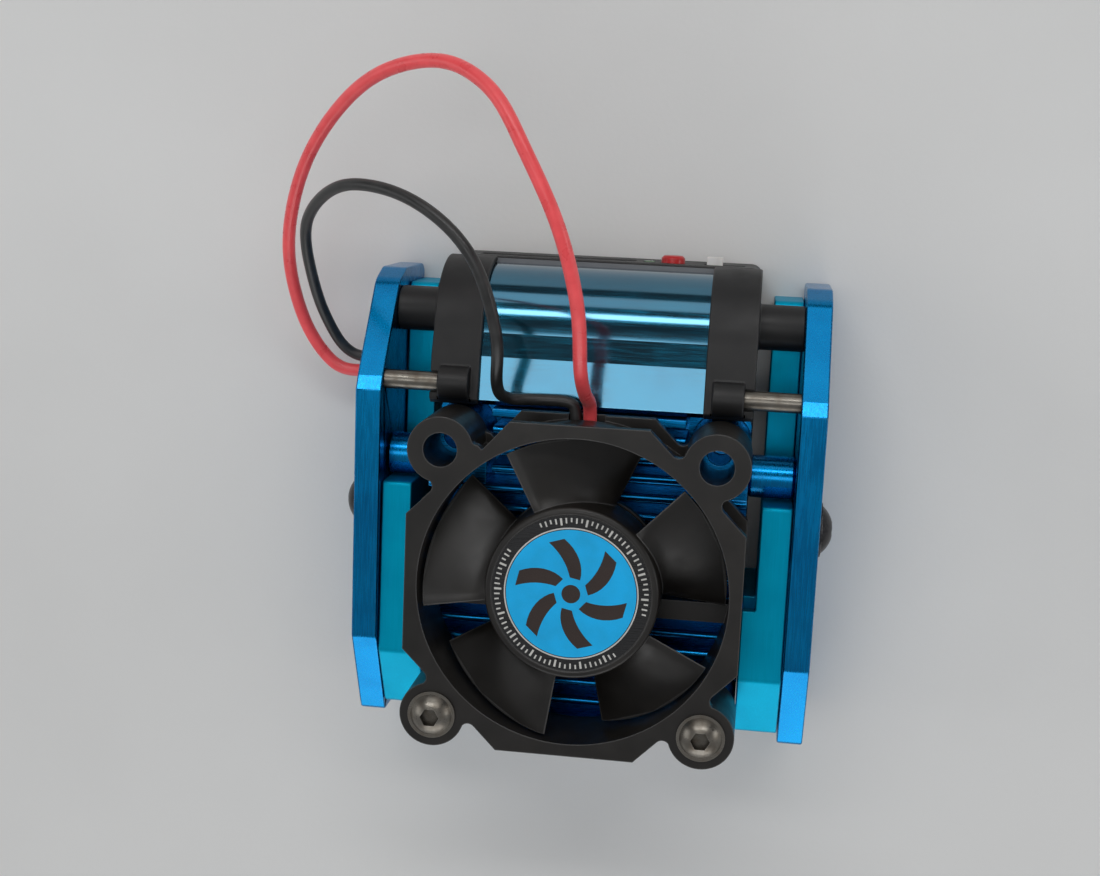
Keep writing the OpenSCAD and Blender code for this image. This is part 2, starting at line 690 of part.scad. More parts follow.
module fan_frame() color([0.06, 0.06, 0.06]) {
    flange_t = 1.3;
    strut_top = fan_z + 2.1;
    strut_y = -3.1;                         // the two side struts are level, and sit below the axis
    difference() {
        union() {
            for (z = [fan_z, fan_top - flange_t]) translate([0, 0, z])
                linear_extrude(height = flange_t) fan_flange();
            tube(duct_d / 2 + 1, duct_d / 2, fan_z, fan_top);
            fan_lugs();
            translate([0, 0, fan_z]) cylinder(r = hub_r, h = 1.2);
            both_sides() box([fan_board_r + 0.1, strut_y - 1.2, fan_z],
                [duct_d / 2 + 0.3, strut_y + 1.2, strut_top]);
            box([-2.7, fan_board_r + 0.2, fan_z], [2.7, duct_d / 2 + 0.4, strut_top]);
            tube(bearing_r + 0.9, bearing_r - 0.6, fan_z, bearing_z[1] + bearing_h + 0.1);
        }
        at_fan_holes() translate([0, 0, fan_z - 1]) cylinder(r = 2, h = fan_h + 2);
        box([-2.2, fan_board_r + 0.1, fan_z + 0.25], [2.2, 21, strut_top + eps]);
        lead_corner(fan_z - 1, fan_top + 1);
        for (z = [[fan_z - 1, bearing_z[0] + bearing_h], [bearing_z[1], fan_top]])
            translate([0, 0, z[0]]) cylinder(r = bearing_r, h = z[1] - z[0]);
        translate([0, 0, fan_z - 1]) cylinder(r = bearing_r - 0.6, h = 8);
    }
}

module fan_screws() color([0.5, 0.48, 0.44]) {
    for (x = [-fan_hole, fan_hole]) translate([x, -fan_hole, fan_top])
        button_screw(2.85, 1.65, 1.5, 16, 1.15);
}

module bearing_plug() color([0.12, 0.12, 0.12]) {
    translate([0, 0, fan_z]) cylinder(r = bearing_r - eps, h = 0.4);
}

module bearing_outer_rings() color([0.72, 0.73, 0.75]) {
    for (z = bearing_z) tube(bearing_r, ball_orbit_r + ball_r + 0.03, z, z + bearing_h);
}

module bearing_inner_rings() color([0.72, 0.73, 0.75]) {
    for (z = bearing_z) tube(ball_orbit_r - ball_r - 0.03, shaft_r, z, z + bearing_h);
}

// Both rows of balls, each held by its cage ring
module bearing_balls() color([0.8, 0.8, 0.82]) {
    for (z = bearing_z) translate([0, 0, z + bearing_h / 2]) {
        tube(ball_orbit_r + 0.15, ball_orbit_r - 0.15, -0.15, 0.15);
        for (i = [0:ball_count - 1]) rotate(360 * i / ball_count)
            translate([ball_orbit_r, 0, 0]) sphere(r = ball_r, $fn = 24);
    }
}

module fan_board() color([0.04, 0.16, 0.1]) {
    tube(fan_board_r, bearing_r + 1, fan_z + 1.2, fan_z + 2.1);
}

stator_z = [fan_z + 3.2, fan_z + 5.8];

module stator_core() color([0.55, 0.55, 0.57]) {
    translate([0, 0, stator_z[0]]) linear_extrude(height = stator_z[1] - stator_z[0]) difference() {
        union() {
            circle(5.2);
            for (a = [0:90:270]) rotate(a) translate([4.5, -1.1]) square([2.6, 2.2]);
            intersection() {
                difference() {
                    circle(7.55);
                    circle(6.8);
                }
                for (a = [0:90:270]) rotate(a) polygon([[0, 0], [12, -8.4], [12, 8.4]]);
            }
        }
        circle(bearing_r + 0.9);
    }
}

module stator_windings() color([0.75, 0.35, 0.12]) {
    for (a = [0:90:270]) rotate(a) difference() {
        translate([5.25, 0, 0]) rotate([90, 0, 90]) linear_extrude(height = 1.05)
            soft_rect(-2.2, stator_z[0] - 0.9, 2.2, stator_z[1] + 0.9, 0.8);
        box([5, -1.12, stator_z[0] - 0.02], [7, 1.12, stator_z[1] + 0.02]);
    }
}

// ---- rotor ----

module blade() {
    rise = blade_z[1] - blade_z[0];
    translate([0, 0, blade_z[0]])
        linear_extrude(height = rise, twist = -blade_span, slices = 12, segments = 4)
            translate([hub_r - 0.3, -0.8]) square([duct_d / 2 - 0.1 - hub_r, 1.6]);
}

module impeller() color([0.06, 0.06, 0.06]) {
    cup_z = fan_z + 2.4;
    roof_z = fan_top - 1.4;
    union() {
        rotate_extrude() polygon([[shaft_r, roof_z - 1], [2.4, roof_z - 1], [2.4, roof_z],
            [hub_r - 0.8, roof_z], [hub_r - 0.8, cup_z], [hub_r, cup_z], [hub_r, hub_top - 0.7],
            [hub_r - 0.2, hub_top - 0.3], [hub_r - 0.7, hub_top], [label_r + 0.1, hub_top],
            [label_r + 0.1, hub_top - label_t], [0, hub_top - label_t], [0, fan_top - 0.9],
            [shaft_r, fan_top - 0.9]]);
        for (i = [0:blade_count - 1]) rotate(360 * i / blade_count - 6) blade();
    }
}

module hub_label() color([0.02, 0.45, 0.85]) {
    translate([0, 0, hub_top - label_t]) cylinder(r = label_r, h = label_t);
}

module rotor_yoke() color([0.6, 0.6, 0.62]) {
    tube(hub_r - 0.8, hub_r - 1.4, fan_z + 2.6, fan_top - 1.4);
}

module rotor_magnet() color([0.16, 0.16, 0.17]) {
    tube(hub_r - 1.4, hub_r - 2.4, fan_z + 2.8, fan_top - 2.2);
}

module fan_shaft() color([0.75, 0.75, 0.77]) {
    translate([0, 0, fan_z + 0.5]) cylinder(r = shaft_r, h = fan_h - 1.4);
}

module shaft_clip() color([0.25, 0.25, 0.27]) difference() {
    tube(1.9, shaft_r, fan_z + 0.6, fan_z + 0.88);
    box([0.2, -0.5, fan_z], [3, 0.5, fan_z + 2]);
}

module preload_washer() color([0.6, 0.6, 0.62]) {
    tube(1.5, shaft_r, bearing_z[1] + bearing_h, fan_top - 2.4);
}

// ---- fan leads ----

plug_end = -31;

module fan_plug() color([0.92, 0.9, 0.84]) {
    x0 = 0.2 - case_w / 2;
    difference() {
        union() {
            box([x0 - 0.4, fan_port_y[0] + 0.55, control_top + 0.55],
                [x0 + 4, fan_port_y[1] - 0.55, control_top + 2.25]);
            box([plug_end, fan_port_y[0] - 0.1, control_top + 0.05],
                [x0 - 0.4, fan_port_y[1] + 0.1, control_top + 2.75]);
        }
        for (y = [black_y, red_y]) {
            rod_x(x0 - 1, x0 + 5, y, plug_z, 0.35);
            rod_x(plug_end - 1, plug_end + 3, y, plug_z, 0.88);
        }
    }
}

// Each lead lies in the strut's channel, leaves the frame behind the flange, arches over the
// capacitor bay and comes back round to the plug on the left
lead_z = fan_z + 1.2;
red_path = [[0.4, 9.3, lead_z], [0.4, 14, lead_z], [0.4, 19, lead_z], [0.3, 21.4, 24.2],
    [0, 22.8, 26.8], [-0.3, 26, 30.2], [-0.4, 33.5, 34.9], [-2.4, 42, 37.8], [-6.4, 50.2, 38],
    [-11, 57, 35.6], [-18, 60, 31.6], [-27.5, 57.5, 26], [-36, 49, 19], [-40.5, 38, 12],
    [-39.8, 28, 7.2], [-35.8, 21.8, 5.7], [plug_end, red_y, plug_z], [plug_end + 2.9, red_y, plug_z]];
black_path = [[-1.36, 9.3, lead_z], [-1.36, 14, lead_z], [-1.36, 19.7, lead_z],
    [-2.3, 21.2, lead_z + 0.1], [-6, 21.3, 23.4], [-9.3, 21.5, 25], [-10.2, 23.4, 28.4],
    [-9.8, 29.6, 32.4], [-12, 37.4, 34.2], [-16.4, 42.4, 33.6], [-23, 45.4, 30.8],
    [-30.5, 45.4, 26], [-36.5, 40.5, 18], [-37.2, 32, 10.6], [-35.6, 26, 6.8],
    [-33.6, 23.5, 5.7], [plug_end, black_y, plug_z], [plug_end + 2.9, black_y, plug_z]];

module fan_lead_red() color([0.85, 0.05, 0.1]) wire(red_path, red_d / 2);
module fan_lead_black() color([0.04, 0.04, 0.04]) wire(black_path, black_d / 2);

tray();
case_gasket();
control_board();
control_chips();
board_spacers();
board_header();
power_board();
mosfets();
thermal_pad();
heat_sink();
capacitor_cans();
capacitor_sleeves();
capacitor_bungs();
capacitor_leads();
capacitor_cover();
cover_end_left();
cover_end_right();
motor_sockets();
battery_sockets();
positive_ring();
negative_ring();
phase_rings();
sensor_port();
receiver_port();
fan_port();
port_pins();
tact_switch();
set_button();
switch_body();
switch_slider();
status_light();
case_screws();
left_side_plate();
right_side_plate();
left_rail();
right_rail();
rail_screws();
side_spacers();
plate_screws();
brace_pins();
fan_frame();
fan_screws();
bearing_plug();
bearing_outer_rings();
bearing_inner_rings();
bearing_balls();
fan_board();
stator_core();
stator_windings();
impeller();
hub_label();
rotor_yoke();
rotor_magnet();
fan_shaft();
shaft_clip();
preload_washer();
fan_plug();
fan_lead_red();
fan_lead_black();
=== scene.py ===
"""The looks of a fan-cooled electronic speed controller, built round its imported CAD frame.

Lengths are in millimetres up to the point where a mesh is made, and in metres on the stage.
+Z is up along the fan's axis, and +Y runs from the fan to the capacitor bay.
"""
import json
import math

import bmesh
import bpy
from mathutils import Matrix, Vector


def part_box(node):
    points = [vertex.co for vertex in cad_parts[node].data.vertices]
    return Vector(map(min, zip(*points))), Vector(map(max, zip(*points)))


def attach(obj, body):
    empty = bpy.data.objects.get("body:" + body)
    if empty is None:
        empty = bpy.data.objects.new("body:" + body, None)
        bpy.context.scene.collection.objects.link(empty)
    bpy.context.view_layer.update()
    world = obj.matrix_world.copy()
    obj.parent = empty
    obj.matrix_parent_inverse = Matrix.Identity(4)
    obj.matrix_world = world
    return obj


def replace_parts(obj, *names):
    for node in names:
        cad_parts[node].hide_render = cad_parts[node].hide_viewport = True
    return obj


MM = 0.001
DOUBLE = 0.0005                 # points closer than this are one point
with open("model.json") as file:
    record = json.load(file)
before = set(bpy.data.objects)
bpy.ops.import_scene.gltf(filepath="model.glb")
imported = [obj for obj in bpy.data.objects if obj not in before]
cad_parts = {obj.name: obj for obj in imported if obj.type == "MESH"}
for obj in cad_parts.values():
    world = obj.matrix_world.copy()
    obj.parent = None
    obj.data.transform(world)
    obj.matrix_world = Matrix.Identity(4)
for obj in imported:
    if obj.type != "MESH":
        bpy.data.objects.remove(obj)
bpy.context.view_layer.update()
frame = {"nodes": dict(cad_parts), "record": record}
nodes = frame["nodes"]


# ---- materials: one small class for the node trees, then one function per family ----

class Look:
    """One material and the few kinds of node that it is made of."""

    def __init__(self, name):
        self.material = bpy.data.materials.new(name)
        self.material.use_nodes = True
        self.tree = self.material.node_tree
        self.shader = self.tree.nodes["Principled BSDF"]
        self.place = self.add("TexCoord").outputs["Object"]

    def add(self, kind):
        """A new shader node of a kind."""
        return self.tree.nodes.new("ShaderNode" + kind)

    def feed(self, socket, value):
        """Gives a socket a link or a plain value."""
        if isinstance(value, bpy.types.NodeSocket):
            self.tree.links.new(value, socket)
        elif isinstance(value, (tuple, list)) and len(value) == 3 and socket.type == "RGBA":
            socket.default_value = (*value, 1.0)
        else:
            socket.default_value = value

    def set(self, **values):
        """Feeds the shader's inputs, named with underscores for spaces."""
        for name, value in values.items():
            self.feed(self.shader.inputs[name.replace("_", " ")], value)

    def noise(self, size, stretch=(1, 1, 1), detail=2.0, shift=0.0):
        """Cloudy noise from 0 to 1, whose lumps are about size millimetres across."""
        mapping = self.add("Mapping")
        self.feed(mapping.inputs["Vector"], self.place)
        mapping.inputs["Scale"].default_value = [1 / (size * MM * s) for s in stretch]
        mapping.inputs["Location"].default_value = (shift, shift, shift)
        texture = self.add("TexNoise")
        self.feed(texture.inputs["Vector"], mapping.outputs["Vector"])
        texture.inputs["Scale"].default_value = 1.0
        texture.inputs["Detail"].default_value = detail
        return texture.outputs["Fac"]

    def cells(self, size):
        """Distance to the nearest of many scattered points, for specks and grains."""
        mapping = self.add("Mapping")
        self.feed(mapping.inputs["Vector"], self.place)
        mapping.inputs["Scale"].default_value = [1 / (size * MM)] * 3
        texture = self.add("TexVoronoi")
        self.feed(texture.inputs["Vector"], mapping.outputs["Vector"])
        texture.inputs["Scale"].default_value = 1.0
        return texture.outputs["Distance"]

    def span(self, value, low, high, out_low=0.0, out_high=1.0):
        """Maps low..high to out_low..out_high, and holds the ends."""
        node = self.add("MapRange")
        for name, number in zip(("Value", "From Min", "From Max", "To Min", "To Max"),
                                (value, low, high, out_low, out_high)):
            self.feed(node.inputs[name], number)
        return node.outputs["Result"]

    def math(self, operation, a, b):
        """The result of one sum or product of two values."""
        node = self.add("Math")
        node.operation = operation
        self.feed(node.inputs[0], a)
        self.feed(node.inputs[1], b)
        return node.outputs["Value"]

    def mix(self, share, a, b):
        """Colour a where share is 0, and colour b where it is 1."""
        node = self.add("MixRGB")
        self.feed(node.inputs["Fac"], share)
        self.feed(node.inputs["Color1"], a)
        self.feed(node.inputs["Color2"], b)
        return node.outputs["Color"]

    def edges(self, width):
        """1 along convex and concave edges, 0 on open surfaces."""
        bevel = self.add("Bevel")
        bevel.samples = 4
        bevel.inputs["Radius"].default_value = width * MM
        geometry = self.add("NewGeometry")
        dot = self.add("VectorMath")
        dot.operation = "DOT_PRODUCT"
        self.feed(dot.inputs[0], bevel.outputs["Normal"])
        self.feed(dot.inputs[1], geometry.outputs["Normal"])
        return self.span(dot.outputs["Value"], 0.995, 0.9)

    def crevice(self, distance):
        """1 deep in holes and corners, 0 in the open, measured over distance millimetres; it masks
        the painted shade in recesses.
        """
        shade = self.add("AmbientOcclusion")
        shade.samples = 4
        shade.inputs["Distance"].default_value = distance * MM
        return self.span(shade.outputs["AO"], 0.25, 0.8, 1.0, 0.0)

    def bump(self, *layers, soft=0.0):
        """Stacks height maps, each a (height, depth in mm) pair, over edges rounded by soft mm."""
        normal = None
        if soft:
            rounded_normal = self.add("Bevel")
            rounded_normal.samples = 6
            rounded_normal.inputs["Radius"].default_value = soft * MM
            normal = rounded_normal.outputs["Normal"]
        for height, depth in layers:
            node = self.add("Bump")
            node.inputs["Distance"].default_value = depth * MM
            self.feed(node.inputs["Height"], height)
            if normal is not None:
                self.feed(node.inputs["Normal"], normal)
            normal = node.outputs["Normal"]
        self.feed(self.shader.inputs["Normal"], normal)


RUBBED_BLUE = (0.20, 0.55, 0.78)
GRIME = (0.22, 0.2, 0.17)
# The colour of stains on steel; cut to near black, it is also the colour of the painted shade in
# steel recesses.
STAIN_AND_SHADE = (0.1, 0.075, 0.05)
BARE_STEEL = (0.35, 0.34, 0.33)


def anodised(name, tint, deep, roughness, lay=(1, 30, 1), coat=0.08, relief=0.0007):
    """Dyed oxide over machined aluminium: faint cutter marks along lay, and paler, rubbed edges."""
    look = Look(name)
    marks = look.noise(0.16, lay, detail=3)
    clouds = look.noise(9, detail=3, shift=3.1)
    body = look.mix(look.span(clouds, 0.35, 0.65), tint, deep)
    pale = tuple(min(1.0, c * 1.25 + 0.006) for c in tint)
    body = look.mix(look.span(marks, 0.42, 0.72, 0.0, 0.35), body, pale)
    patches = look.span(look.noise(0.7, detail=4, shift=7), 0.4, 0.62)
    rubbed = look.math("MULTIPLY", look.edges(0.25), patches)
    body = look.mix(look.math("MULTIPLY", rubbed, 0.4), body, RUBBED_BLUE)
    smudge = look.span(look.noise(5, detail=4, shift=1.7), 0.45, 0.7)
    rough = look.math("ADD", look.span(marks, 0.3, 0.7, roughness - 0.05, roughness + 0.07),
                      look.math("MULTIPLY", smudge, 0.06))
    look.set(Base_Color=body, Metallic=1.0, Roughness=rough)
    look.set(Coat_Weight=coat, Coat_Roughness=0.1, Coat_IOR=1.7)
    look.bump((marks, relief))
    return look.material


def nylon(name, tone, roughness, dust=0.25):
    """Moulded plastic: a fine spark-eroded grain, polished edges lightened partly as wear and
    partly as a painted highlight, and a thin film of dust.
    """
    look = Look(name)
    clouds = look.noise(6, detail=3)
    dusty = tuple(c * 1.5 + 0.012 * k for c, k in zip(tone, (1.15, 1.0, 0.85)))
    body = look.mix(look.math("MULTIPLY", look.span(clouds, 0.4, 0.7), dust), tone, dusty)
    # The edges are lightened partly as wear and partly as a painted highlight, like light caught on
    # the frame's edges; the same mask makes them a little glossier.
    worn = look.edges(0.22)
    wear_and_highlight_tone = tuple(c + 0.1 for c in tone)
    body = look.mix(look.math("MULTIPLY", worn, 0.8), body, wear_and_highlight_tone)
    grain = look.noise(0.12, detail=2)
    patchy = look.noise(3, detail=3, shift=5)
    rough = look.math("SUBTRACT",
                      look.span(patchy, 0.3, 0.7, roughness - 0.05, roughness + 0.08),
                      look.math("MULTIPLY", worn, 0.1))
    look.set(Base_Color=body, Roughness=rough, Specular_IOR_Level=0.4)
    look.bump((grain, 0.004), (look.noise(1.4, detail=1, shift=2), 0.01), soft=0.14)
    return look.material


def clean_plastic(name, tone, roughness, through=0.0):
    """Small bright mouldings: nearly even, with faint flow marks and grime in the corners."""
    look = Look(name)
    flow = look.noise(1.6, (1, 4, 1), detail=2)
    shade = tuple(c * 0.86 for c in tone)
    body = look.mix(look.span(flow, 0.35, 0.7), tone, shade)
    patches = look.span(look.noise(0.8, shift=4), 0.45, 0.7, 0.0, 0.35)
    grime = look.math("MULTIPLY", look.edges(0.15), patches)
    body = look.mix(grime, body, GRIME)
    look.set(Base_Color=body, Roughness=look.span(flow, 0.3, 0.7, roughness, roughness + 0.12))
    look.set(Transmission_Weight=through, Subsurface_Weight=0.08, Subsurface_Scale=0.0006)
    look.bump((look.noise(0.2, detail=2), 0.003))
    return look.material


def steel(name, tone, roughness, worn):
    """Ground or plated steel: fine scratches, brighter edges, stains between them, and painted
    shade deep in holes and recesses.
    """
    look = Look(name)
    scratches = look.noise(0.12, (9, 1, 1), detail=4)
    blotches = look.noise(1.3, detail=3, shift=2)
    body = look.mix(look.span(blotches, 0.45, 0.8, 0.0, worn), tone, STAIN_AND_SHADE)
    bright = tuple(min(1.0, c * 1.4 + 0.08) for c in tone)
    body = look.mix(look.math("MULTIPLY", look.edges(0.12), 0.5), body, bright)
    # Painted shade: holes and recesses, such as the screws' hex sockets, are darkened to near black
    # through the ambient-occlusion mask.
    dark = tuple(c * 0.12 for c in STAIN_AND_SHADE)
    body = look.mix(look.math("MULTIPLY", look.crevice(1.5), 0.9), body, dark)
    rough = look.math("ADD", look.span(scratches, 0.3, 0.7, roughness - 0.05, roughness + 0.08),
                      look.span(blotches, 0.45, 0.8, 0.0, worn * 0.2))
    look.set(Base_Color=body, Metallic=1.0, Roughness=rough)
    look.bump((scratches, 0.0025), (blotches, 0.003))
    return look.material


def black_oxide(name):
    """Blackened screw steel: dark, slightly oily, with bare metal on its edges."""
    look = Look(name)
    blotches = look.noise(0.5, detail=4)
    body = look.mix(look.span(blotches, 0.4, 0.65), (0.022, 0.022, 0.025), (0.05, 0.048, 0.05))
    patches = look.span(look.noise(0.4, shift=6), 0.42, 0.6)
    rubbed = look.math("MULTIPLY", look.edges(0.12), patches)
    body = look.mix(look.math("MULTIPLY", rubbed, 0.7), body, BARE_STEEL)
    rough = look.span(blotches, 0.3, 0.7, 0.28, 0.46)
    look.set(Base_Color=body, Metallic=0.85, Roughness=rough)
    look.bump((look.noise(0.1, detail=2), 0.004))
    return look.material


def plated(name, tone, tarnish, roughness=0.2):
    """Gold, tin or copper: smooth plating with soft tarnish and drawing lines."""
    look = Look(name)
    lines = look.noise(0.1, (1, 14, 1), detail=3)
    patches = look.noise(1.2, detail=4, shift=8)
    body = look.mix(look.span(patches, 0.42, 0.68, 0.0, 0.6), tone, tarnish)
    rough = look.span(lines, 0.3, 0.7, roughness - 0.05, roughness + 0.12)
    look.set(Base_Color=body, Metallic=1.0, Roughness=rough)
    look.bump((lines, 0.003))
    return look.material


def rubber(name, tone, roughness, sheen=0.0, dust=0.12):
    """Silicone or rubber: soft gloss, slight mottling and picked-up dust."""
    look = Look(name)
    mottle = look.noise(2.4, detail=3)
    pale = tuple(c * 1.12 + 0.012 for c in tone)
    body = look.mix(look.span(mottle, 0.38, 0.68), tone, pale)
    specks = look.span(look.cells(0.7), 0.0, 0.12, dust, 0.0)
    body = look.mix(specks, body, tuple(0.7 * c + 0.12 for c in tone))
    rough = look.span(mottle, 0.3, 0.7, roughness - 0.06, roughness + 0.1)
    look.set(Base_Color=body, Roughness=rough, Sheen_Weight=sheen)
    look.bump((look.noise(0.14, detail=1), 0.0012), (mottle, 0.004))
    return look.material


def circuit_board(name):
    """Solder resist over copper: tracks show through as slightly raised, lighter lines."""
    look = Look(name)
    tracks = look.add("TexBrick")
    look.feed(tracks.inputs["Vector"], look.place)
    pattern = {"Scale": 1 / (1.3 * MM), "Mortar Size": 0.045,
               "Brick Width": 1.7, "Row Height": 0.42}
    for key, value in pattern.items():
        tracks.inputs[key].default_value = value
    clouds = look.span(look.noise(4), 0.35, 0.65)
    resist = look.mix(clouds, (0.012, 0.1, 0.055), (0.018, 0.14, 0.07))
    body = look.mix(tracks.outputs["Fac"], resist, (0.04, 0.24, 0.12))
    rough = look.span(look.noise(0.6), 0.3, 0.7, 0.22, 0.36)
    look.set(Base_Color=body, Roughness=rough, Coat_Weight=0.5)
    look.bump((tracks.outputs["Fac"], 0.02), (look.noise(0.25), 0.004))
    return look.material


def film(name, tone, roughness):
    """Printed label film under a clear laminate, with hairline scratches."""
    look = Look(name)
    print_grain = look.noise(0.12, detail=2)
    shade = tuple(c * 0.82 for c in tone)
    body = look.mix(look.span(look.noise(3.5, detail=3), 0.35, 0.7), tone, shade)
    pale = tuple(c + 0.06 for c in tone)
    body = look.mix(look.span(print_grain, 0.4, 0.75, 0.0, 0.12), body, pale)
    hairs = look.noise(0.08, (40, 1, 1), detail=3, shift=9)
    rough = look.span(hairs, 0.35, 0.7, roughness - 0.06, roughness + 0.12)
    look.set(Base_Color=body, Roughness=rough, Specular_IOR_Level=0.3)
    look.set(Coat_Weight=0.25, Coat_Roughness=0.18)
    look.bump((hairs, 0.002), (look.noise(2.2, detail=1), 0.01))
    return look.material


BACKDROP = (0.55, 0.555, 0.56)
FADE_START = 0.14               # metres from the origin, where the floor starts to fade
FADE_END = 0.75                 # metres from the origin, where only the backdrop is left


def plain_floor(name):
    """A pale matt floor that fades into the even backdrop, for the camera alone."""
    look = Look(name)
    clouds = look.span(look.noise(60, detail=4), 0.3, 0.7)
    tone = look.mix(clouds, (0.72, 0.72, 0.71), (0.77, 0.77, 0.76))
    look.set(Base_Color=tone, Roughness=look.span(look.noise(4), 0.3, 0.7, 0.6, 0.75))
    look.bump((look.noise(0.8, detail=3), 0.02))
    fade = look.add("MixShader")
    far = look.add("Emission")
    far.inputs["Color"].default_value = (*BACKDROP, 1.0)
    distance = look.add("VectorMath")
    distance.operation = "LENGTH"
    look.feed(distance.inputs[0], look.place)
    share = look.span(distance.outputs["Value"], FADE_START, FADE_END)
    seen = look.add("LightPath").outputs["Is Camera Ray"]
    look.feed(fade.inputs["Fac"], look.math("MULTIPLY", share, seen))
    look.feed(fade.inputs[1], look.shader.outputs["BSDF"])
    look.feed(fade.inputs[2], far.outputs["Emission"])
    look.feed(look.tree.nodes["Material Output"].inputs["Surface"], fade.outputs["Shader"])
    return look.material


BLUE = (0.0, 0.22, 0.50)
BLUE_DEEP = (0.0, 0.17, 0.42)
TEAL = (0.0, 0.39, 0.60)
TEAL_DEEP = (0.0, 0.33, 0.53)
COVER_BLUE = (0.0, 0.135, 0.23)
COVER_BLUE_DEEP = (0.0, 0.12, 0.215)
SINK_BLUE = (0.0, 0.20, 0.48)
SINK_BLUE_DEEP = (0.0, 0.15, 0.40)
FAN_BLACK = (0.0100, 0.0088, 0.0078)
CASE_BLACK = (0.0095, 0.0095, 0.0100)

looks = {
    "anodised_blue": anodised("plate_blue", BLUE, BLUE_DEEP, 0.24),
    "black_nylon": nylon("case_nylon", CASE_BLACK, 0.46),
    "fan_nylon": nylon("fan_nylon", FAN_BLACK, 0.36, dust=0.45),
    "grey_silicone": rubber("gasket_silicone", (0.16, 0.165, 0.175), 0.55),
    "thermal_silicone": rubber("thermal_pad_silicone", (0.28, 0.36, 0.5), 0.7),
    "circuit_board": circuit_board("solder_resist"),
    "chip_epoxy": nylon("chip_epoxy", (0.02, 0.02, 0.021), 0.55, dust=0.1),
    "white_nylon": clean_plastic("white_nylon", (0.72, 0.70, 0.62), 0.4),
    "white_plastic": clean_plastic("white_plastic", (0.78, 0.78, 0.76), 0.3),
    "black_plastic": nylon("black_plastic", (0.016, 0.016, 0.017), 0.38, dust=0.1),
    "red_plastic": clean_plastic("red_plastic", (0.52, 0.012, 0.014), 0.28),
    "gold_plated_brass": plated("gold_plate", (0.86, 0.62, 0.24), (0.76, 0.50, 0.18)),
    "stamped_steel": steel("stamped_steel", (0.52, 0.51, 0.49), 0.34, worn=0.25),
    "light_guide": clean_plastic("light_guide", (0.45, 0.80, 0.50), 0.18, through=0.7),
    "capacitor_aluminium": steel("can_aluminium", (0.72, 0.72, 0.74), 0.3, worn=0.1),
    "capacitor_sleeve": film("can_sleeve", (0.015, 0.02, 0.05), 0.22),
    "black_rubber": rubber("bung_rubber", (0.02, 0.02, 0.02), 0.62),
    "tinned_wire": plated("tinned_wire", (0.72, 0.72, 0.70), (0.5, 0.5, 0.5), 0.25),
    "black_steel": black_oxide("black_oxide"),
    "worn_steel": steel("worn_steel", (0.21, 0.195, 0.17), 0.3, worn=0.7),
    "bearing_steel": steel("bearing_steel", (0.62, 0.63, 0.65), 0.18, worn=0.12),
    "laminated_steel": steel("laminations", (0.40, 0.40, 0.42), 0.4, worn=0.3),
    "copper_wire": plated("enamelled_copper", (0.55, 0.20, 0.07), (0.36, 0.11, 0.04), 0.26),
    "ferrite": nylon("ferrite", (0.05, 0.05, 0.055), 0.6, dust=0.2),
    "label_film": film("label_black", (0.014, 0.014, 0.015), 0.3),
    "red_silicone": rubber("lead_red", (0.88, 0.08, 0.09), 0.3, sheen=0.1, dust=0.0),
    "black_silicone": rubber("lead_black", (0.017, 0.017, 0.017), 0.36),
}
rail_teal = anodised("rail_teal", TEAL, TEAL_DEEP, 0.48, coat=0.03)
cover_blue = anodised("cover_blue", COVER_BLUE, COVER_BLUE_DEEP, 0.12, lay=(30, 1, 1),
                      coat=1.0, relief=0.0005)
sink_blue = anodised("sink_blue", SINK_BLUE, SINK_BLUE_DEEP, 0.26, lay=(30, 1, 1),
                     relief=0.0012)


def dress_cad_nodes():
    """Every CAD node takes its slot's look; a few big ones have a look of their own."""
    own = {"left_rail": rail_teal, "right_rail": rail_teal, "capacitor_cover": cover_blue,
           "heat_sink": sink_blue}
    for part in frame["record"]["subparts"]:
        mesh = nodes[part["node"]].data
        mesh.materials.clear()
        mesh.materials.append(own.get(part["node"], looks[part["material_slot"]]))


# Width of the broken edge on each machined or moulded CAD part
EDGE = {
    "left_side_plate": 0.22, "right_side_plate": 0.22, "left_rail": 0.2, "right_rail": 0.2,
    "cover_end_left": 0.2, "cover_end_right": 0.2, "heat_sink": 0.1,
    "tray": 0.15, "fan_plug": 0.12, "side_spacers": 0.08, "set_button": 0.08,
    "switch_slider": 0.1, "switch_body": 0.08, "sensor_port": 0.08, "receiver_port": 0.08,
}


# Machined parts whose shallow creases stay crisp, and the bends that count as such, in degrees
CRISP = ("left_side_plate", "right_side_plate", "left_rail", "right_rail")
CREASE_MIN = 8.0
ANY_BEND = 181.0
BEVEL_MIN = 32.0                # sharper bends than this get a rounded edge instead


